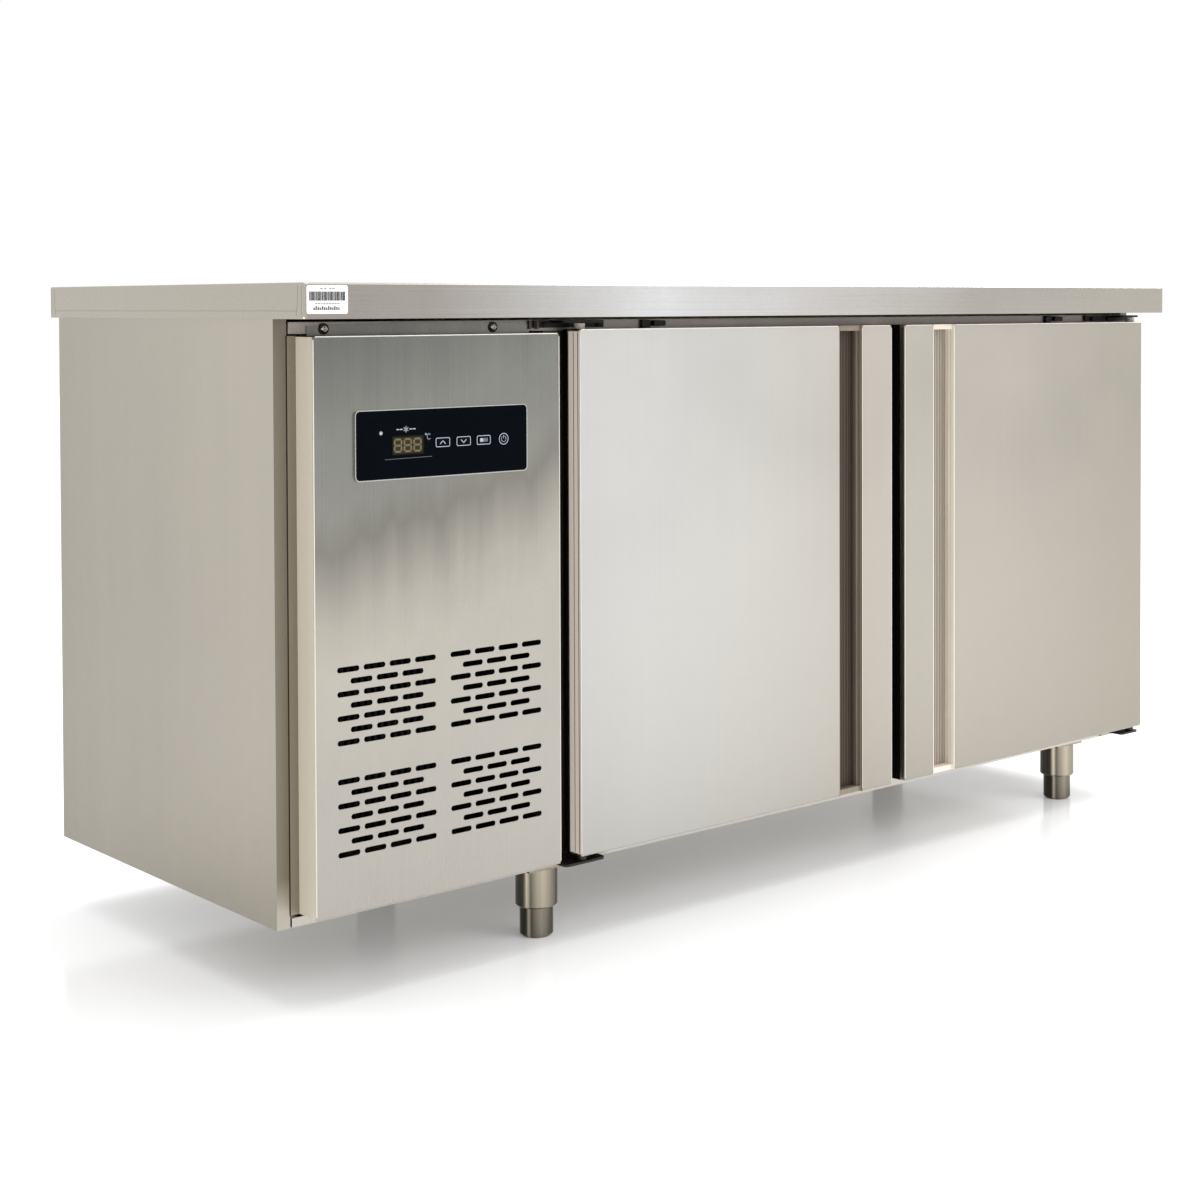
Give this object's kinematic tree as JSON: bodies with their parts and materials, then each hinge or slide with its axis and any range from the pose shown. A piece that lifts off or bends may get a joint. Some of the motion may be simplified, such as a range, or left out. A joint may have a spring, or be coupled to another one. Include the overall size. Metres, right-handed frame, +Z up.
{
  "type": "undercounter refrigerator",
  "caption": "Low stainless refrigerated counter with a worktop, side-hinged doors with recessed grips, a louvred machine bay with a digital control unit, and adjustable legs.",
  "frame": {"origin": "on the floor under the middle of the worktop", "axes": "+X to the right along the front, +Y into the depth (the doors face -Y), +Z up"},
  "size_m": [1.5, 0.6, 0.77],
  "materials": {
    "stainless": "satin",
    "handle_steel": "satin",
    "core_board": "raw board",
    "breaker_plastic": "matte",
    "foam": "rigid foam",
    "gasket_rubber": "matte",
    "hinge_steel": "satin",
    "screw_steel": "bright",
    "leg_steel": "polished",
    "wire": "satin",
    "upright_steel": "satin",
    "plastic_dark": "gloss",
    "window": "gloss",
    "keys": "gloss",
    "cover_plastic": "satin",
    "fin_aluminium": "bare",
    "black_paint": "semi-gloss",
    "motor_grey": "satin",
    "blade": "bare",
    "copper": "bare copper"
  },
  "bodies": {
    "cabinet": {"back_panel": "stainless", "base_panel": "stainless", "bottom_rail": "stainless", "cabinet_foam": "foam", "cabinet_liner": "stainless", "compressor": "black_paint", "compressor_mounts": "gasket_rubber", "condenser_coil": "fin_aluminium", "condenser_fan_motor": "motor_grey", "condenser_shroud": "black_paint", "control_fascia": "plastic_dark", "copper_pipes": "copper", "display_window": "window", "door_header": "stainless", "door_sill": "stainless", "electrical_box": "plastic_dark", "evaporator_coil": "fin_aluminium", "evaporator_cover": "cover_plastic", "evaporator_fan_motor": "motor_grey", "filter_drier": "copper", "hinge_brackets_bottom": "hinge_steel", "hinge_brackets_top": "hinge_steel", "leg_sleeves": "leg_steel", "mullion_post": "breaker_plastic", "panel_screws": "screw_steel", "partition_wall": "stainless", "power_gland": "plastic_dark", "right_post": "stainless", "service_panel": "stainless", "shelf_clips": "upright_steel", "shelf_left": "wire", "shelf_right": "wire", "shelf_uprights": "upright_steel", "side_panel_left": "stainless", "side_panel_right": "stainless", "top_rail": "stainless", "worktop": "stainless", "worktop_core": "core_board"},
    "left_door": {"door_left_bushes": "hinge_steel", "door_left_foam": "foam", "door_left_gasket": "gasket_rubber", "door_left_handle": "handle_steel", "door_left_liner": "stainless", "door_left_skin": "stainless"},
    "right_door": {"door_right_bushes": "hinge_steel", "door_right_foam": "foam", "door_right_gasket": "gasket_rubber", "door_right_handle": "handle_steel", "door_right_liner": "stainless", "door_right_skin": "stainless"},
    "condenser_fan": {"condenser_fan_blade": "blade"},
    "evaporator_fan": {"evaporator_fan_blade": "blade"},
    "up_key_cap": {"up_key": "keys"},
    "down_key_cap": {"down_key": "keys"},
    "light_key_cap": {"light_key": "keys"},
    "power_key_cap": {"power_key": "keys"},
    "foot_front_left_body": {"foot_front_left": "leg_steel"},
    "foot_front_right_body": {"foot_front_right": "leg_steel"},
    "foot_back_left_body": {"foot_back_left": "leg_steel"},
    "foot_back_right_body": {"foot_back_right": "leg_steel"}
  },
  "joints": [
    {"name": "left_door_hinge", "type": "hinge", "parent": "cabinet", "child": "left_door", "pos_m": [-0.35, -0.254, 0.4], "axis": [0, 0, -1], "range_deg": [0, 100], "stiffness_Nm_per_rad": 1.2, "springref_deg": -20.05},
    {"name": "right_door_hinge", "type": "hinge", "parent": "cabinet", "child": "right_door", "pos_m": [0.73, -0.254, 0.4], "axis": [0, 0, 1], "range_deg": [0, 100], "stiffness_Nm_per_rad": 1.2, "springref_deg": -20.05},
    {"name": "condenser_fan_spin", "type": "hinge", "parent": "cabinet", "child": "condenser_fan", "pos_m": [-0.556, -0.072, 0.26], "axis": [0, 1, 0], "continuous": true},
    {"name": "evaporator_fan_spin", "type": "hinge", "parent": "cabinet", "child": "evaporator_fan", "pos_m": [-0.262, 0.01, 0.585], "axis": [1, 0, 0], "continuous": true},
    {"name": "up_key_press", "type": "slide", "parent": "cabinet", "child": "up_key_cap", "axis": [0, 1, 0], "range_m": [0, 0.0005], "stiffness_N_per_m": 600, "springref_m": -0.001},
    {"name": "down_key_press", "type": "slide", "parent": "cabinet", "child": "down_key_cap", "axis": [0, 1, 0], "range_m": [0, 0.0005], "stiffness_N_per_m": 600, "springref_m": -0.001},
    {"name": "light_key_press", "type": "slide", "parent": "cabinet", "child": "light_key_cap", "axis": [0, 1, 0], "range_m": [0, 0.0005], "stiffness_N_per_m": 600, "springref_m": -0.001},
    {"name": "power_key_press", "type": "slide", "parent": "cabinet", "child": "power_key_cap", "axis": [0, 1, 0], "range_m": [0, 0.0005], "stiffness_N_per_m": 600, "springref_m": -0.001},
    {"name": "foot_front_left_screw", "type": "slide", "parent": "cabinet", "child": "foot_front_left_body", "axis": [0, 0, -1], "range_m": [0, 0.02]},
    {"name": "foot_front_right_screw", "type": "slide", "parent": "cabinet", "child": "foot_front_right_body", "axis": [0, 0, -1], "range_m": [0, 0.02]},
    {"name": "foot_back_left_screw", "type": "slide", "parent": "cabinet", "child": "foot_back_left_body", "axis": [0, 0, -1], "range_m": [0, 0.02]},
    {"name": "foot_back_right_screw", "type": "slide", "parent": "cabinet", "child": "foot_back_right_body", "axis": [0, 0, -1], "range_m": [0, 0.02]}
  ]
}
